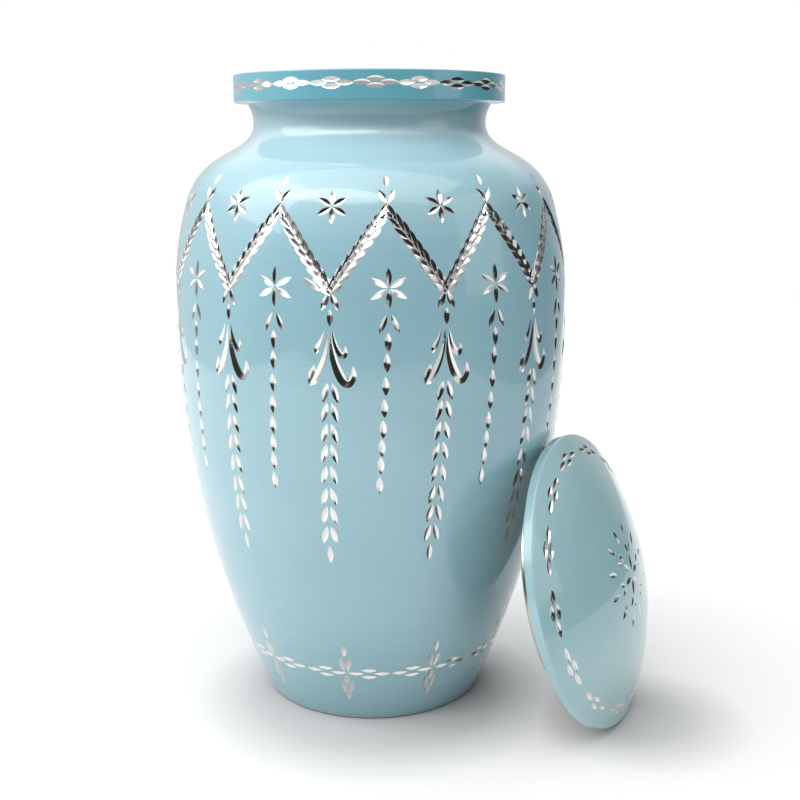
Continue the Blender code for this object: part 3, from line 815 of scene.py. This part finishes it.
def make_lid(materials):
    """The domed lid with its rounded edge, its band, its bare threaded spigot and its hollow."""
    enamel, bare, raw, bright = range(4)
    radius = np.append(np.linspace(0, 1, DOME_ROWS)[:-1] ** 0.8 * (LID_RADIUS - 0.35), LID_RADIUS - 0.35)
    dome = np.stack([radius, lid_dome(radius)], axis=1)
    brow = rounding((LID_RADIUS - 0.5, LID_BAND - 0.5), 35, 0, 0.5)
    low = rounding((LID_RADIUS - 0.4, 0.4), 0, -90, 0.4)
    back = np.array([(SPIGOT_RADIUS + 2.0, 0.0), (SPIGOT_RADIUS, 0.0)])
    wall = thread(SPIGOT_RADIUS, -0.4, -SPIGOT_DEPTH + 0.5)
    end = np.array([(SPIGOT_RADIUS, -SPIGOT_DEPTH + 0.4), (SPIGOT_RADIUS - 0.4, -SPIGOT_DEPTH),
                    (SPIGOT_BORE + 0.4, -SPIGOT_DEPTH), (SPIGOT_BORE, -SPIGOT_DEPTH + 0.4),
                    (SPIGOT_BORE, -1.0)])
    inner = np.linspace(1, 0, HOLLOW_ROWS + 1)[:-1] * SPIGOT_BORE
    hollow = np.stack([inner, lid_dome(inner) - LID_WALL], axis=1)
    outline = band_table((dome, enamel), (brow, enamel), (low, enamel), (back, bare), (wall, bare),
                         (end, bare), (hollow, raw),
                         (np.array([(0, LID_BAND + LID_DOME - LID_WALL)]), raw))
    rows, finish = outline[0][::-1], outline[1][::-1]
    mesh = turned_mesh("lid_cap", rows, finish, materials, (-SPIGOT_DEPTH + 0.4, -0.3, SPIGOT_RADIUS))
    axes = Matrix((LID_DOWN, LID_SIDE, LID_OUT)).transposed().to_4x4()
    return cut_and_finish("lid_cap", mesh, lid_cuts(surface_table(dome[::-1])), materials[bright],
                          Matrix.Translation(LID_PLACE) @ axes)


def make_room():
    """A roll of white paper that ends a little way in front of the vessel, so that the cuts mirror white
    paper below its edge and a dark room above it. It has a painted glow, an emission with no lamp, that
    grows the further it is from the pieces, so that it meets the white of the backdrop; the glow falls near
    the pieces, painting their shadows, and near its front edge and out on the right, as painted shade where
    the room's light falls away."""
    across = np.linspace(PAPER_LEFT, PAPER_RIGHT, 3)
    along = np.array((PAPER_EDGE, 0.5, PAPER_BACK))
    points = np.stack(np.broadcast_arrays(across, along[:, None], 0.0), axis=2).reshape(-1, 3)
    first = (3 * np.arange(2)[:, None] + np.arange(2)).reshape(-1, 1)
    mesh = bpy.data.meshes.new("paper")
    mesh.from_pydata(points.tolist(), [], (first + np.array((0, 1, 4, 3))).tolist())

    material, tree = new_material("matt_white_paper_painted_glow")
    spot = add_node(tree, "ShaderNodeTexCoord").outputs["Object"]
    fibre = add_node(tree, "ShaderNodeTexNoise", {"Vector": spot, "Scale": FIBRE, "Detail": 3.0})
    colour = add_node(tree, "ShaderNodeValToRGB", {0: fibre.outputs[0]})
    colour.color_ramp.elements[0].color = linear("#BDBDBD")
    colour.color_ramp.elements[1].color = linear("#C6C6C6")
    # painted shadow: the glow falls near the vessel and the lid
    vessel = add_node(tree, "ShaderNodeVectorMath", {0: spot, 1: VESSEL_SHADE}, operation="DISTANCE")
    outside = add_node(tree, "ShaderNodeMath", {0: vessel.outputs["Value"], 1: VESSEL_COVER},
                       operation="SUBTRACT")
    lid = add_node(tree, "ShaderNodeVectorMath", {0: spot, 1: LID_SHADE}, operation="DISTANCE")
    near = add_node(tree, "ShaderNodeMath", {0: outside.outputs[0], 1: lid.outputs["Value"]},
                    operation="MINIMUM")
    share = add_node(tree, "ShaderNodeMath", {0: near.outputs[0], 1: PAINTED_GLOW_SCALE}, operation="MULTIPLY")
    rise = add_node(tree, "ShaderNodeValToRGB", {0: share.outputs[0]})
    stops = rise.color_ramp.elements
    for number, (position, glow) in enumerate(PAINTED_GLOW_STOPS):
        stop = stops[number] if number < 2 else stops.new(position)
        stop.position = position
        stop.color = (glow, glow, glow, 1)
    parts = add_node(tree, "ShaderNodeSeparateXYZ", {0: spot})
    # painted shade: the glow falls towards the paper's front edge
    fade = add_node(tree, "ShaderNodeMapRange", {
        0: parts.outputs[1], 1: PAPER_EDGE, 2: PAPER_LIT, 3: 0.0, 4: PAPER_PAINTED_GLOW},
                    interpolation_type="SMOOTHSTEP")
    front = add_node(tree, "ShaderNodeMath", {0: rise.outputs[0], 1: fade.outputs[0]},
                     operation="MULTIPLY")
    # painted shade: the glow falls to a share out on the right
    slant = add_node(tree, "ShaderNodeVectorMath", {0: spot, 1: RIGHT_SLANT}, operation="DOT_PRODUCT")
    right = add_node(tree, "ShaderNodeMapRange", {
        0: slant.outputs["Value"], 1: RIGHT_FROM, 2: RIGHT_TO, 3: 1.0, 4: RIGHT_SHARE},
                     interpolation_type="SMOOTHSTEP")
    glow = add_node(tree, "ShaderNodeMath", {0: front.outputs[0], 1: right.outputs[0]},
                    operation="MULTIPLY")
    # the painted glow is the paper's emission, with no lamp
    shader = add_node(tree, "ShaderNodeBsdfPrincipled", {
        "Base Color": colour.outputs[0], "Roughness": 0.9, "Specular IOR Level": 0.2,
        "Emission Color": (1, 1, 1, 1), "Emission Strength": glow.outputs[0]})
    add_node(tree, "ShaderNodeOutputMaterial", {0: shader.outputs[0]})
    mesh.materials.append(material)
    link_object("paper", mesh)


def softbox(name, place, aim, width, height, power, shape):
    """A flat studio light that faces its aim."""
    lamp = bpy.data.lights.new(name, "AREA")
    lamp.shape = shape
    lamp.size = width
    lamp.size_y = height
    lamp.energy = power
    box = link_object(name, lamp)
    box.location = place
    box.rotation_euler = (Vector(aim) - Vector(place)).to_track_quat("-Z", "Y").to_euler()


def make_light():
    """Softboxes on the left, on the right and overhead, and an oval one in front, in a room that
    glows overhead, and behind on the left, and is dark elsewhere. The camera alone sees it white all
    round."""
    for light in LIGHTS:
        softbox(*light)
    world = bpy.data.worlds.new("room_light")
    world.use_nodes = True
    tree = world.node_tree
    tree.nodes.clear()
    way = add_node(tree, "ShaderNodeTexCoord").outputs["Generated"]
    parts = add_node(tree, "ShaderNodeSeparateXYZ", {0: way})
    high = add_node(tree, "ShaderNodeMapRange", {
        0: parts.outputs[2], 1: HIGH_FROM, 2: HIGH_TO, 3: 0.0, 4: HIGH_GLOW},
                    interpolation_type="SMOOTHSTEP")
    towards = add_node(tree, "ShaderNodeVectorMath", {0: way, 1: BACK_WAY}, operation="DOT_PRODUCT")
    back = add_node(tree, "ShaderNodeMapRange", {
        0: towards.outputs["Value"], 1: BACK_FROM, 2: BACK_TO, 3: DARK_SIDE, 4: BACK_GLOW},
                    interpolation_type="SMOOTHSTEP")
    both = add_node(tree, "ShaderNodeMath", {0: high.outputs[0], 1: back.outputs[0]}, operation="ADD")
    seen = add_node(tree, "ShaderNodeBackground", {0: (1, 1, 1, 1), 1: 1.0})
    glow = add_node(tree, "ShaderNodeBackground", {0: (1, 1, 1, 1), 1: both.outputs[0]})
    ray = add_node(tree, "ShaderNodeLightPath")
    room = add_node(tree, "ShaderNodeMixShader", {
        0: ray.outputs["Is Camera Ray"], 1: glow.outputs[0], 2: seen.outputs[0]})
    add_node(tree, "ShaderNodeOutputWorld", {0: room.outputs[0]})
    bpy.context.scene.world = world


def make_camera():
    """A short telephoto just below the rim's height, turned a little to the right and down."""
    lens = bpy.data.cameras.new("camera")
    lens.sensor_width = CAMERA_SENSOR
    lens.lens = CAMERA_LENS
    lens.clip_start = 0.01
    camera = link_object("camera", lens)
    yaw, pitch, roll = np.radians(CAMERA_TURN)
    camera.location = CAMERA_PLACE
    gaze = Vector((np.sin(yaw) * np.cos(pitch), np.cos(yaw) * np.cos(pitch), -np.sin(pitch)))
    turn = gaze.to_track_quat("-Z", "Y").to_matrix() @ Matrix.Rotation(roll, 3, "Z")
    camera.rotation_euler = turn.to_euler()
    bpy.context.scene.camera = camera
    bpy.context.scene.view_settings.view_transform = "Standard"


def make_urn():
    bare = turned_aluminium("turned_bare_aluminium", BARE_RING, "#A9A6A0", "#CFCCC6", 0.24)
    raw = turned_aluminium("spun_raw_aluminium", RAW_RING, "#9A9A98", "#BDBDBB", 0.42)
    bright = bright_cut("bright_cut_aluminium")
    vessel = make_vessel([gloss_enamel("pale_blue_enamel_vessel", "#89B7C3", "#90BDC9"), bare, raw, bright])
    lid = make_lid([gloss_enamel("pale_blue_enamel_lid", "#8EB8BF", "#96BFC5"), bare, raw, bright])
    for piece, node, slot in ((vessel, "urn_body", "vessel_enamel"), (lid, "lid", "lid_enamel")):
        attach(piece, "root")
        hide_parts(node)


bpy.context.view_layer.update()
make_camera()
make_room()
make_light()
make_urn()
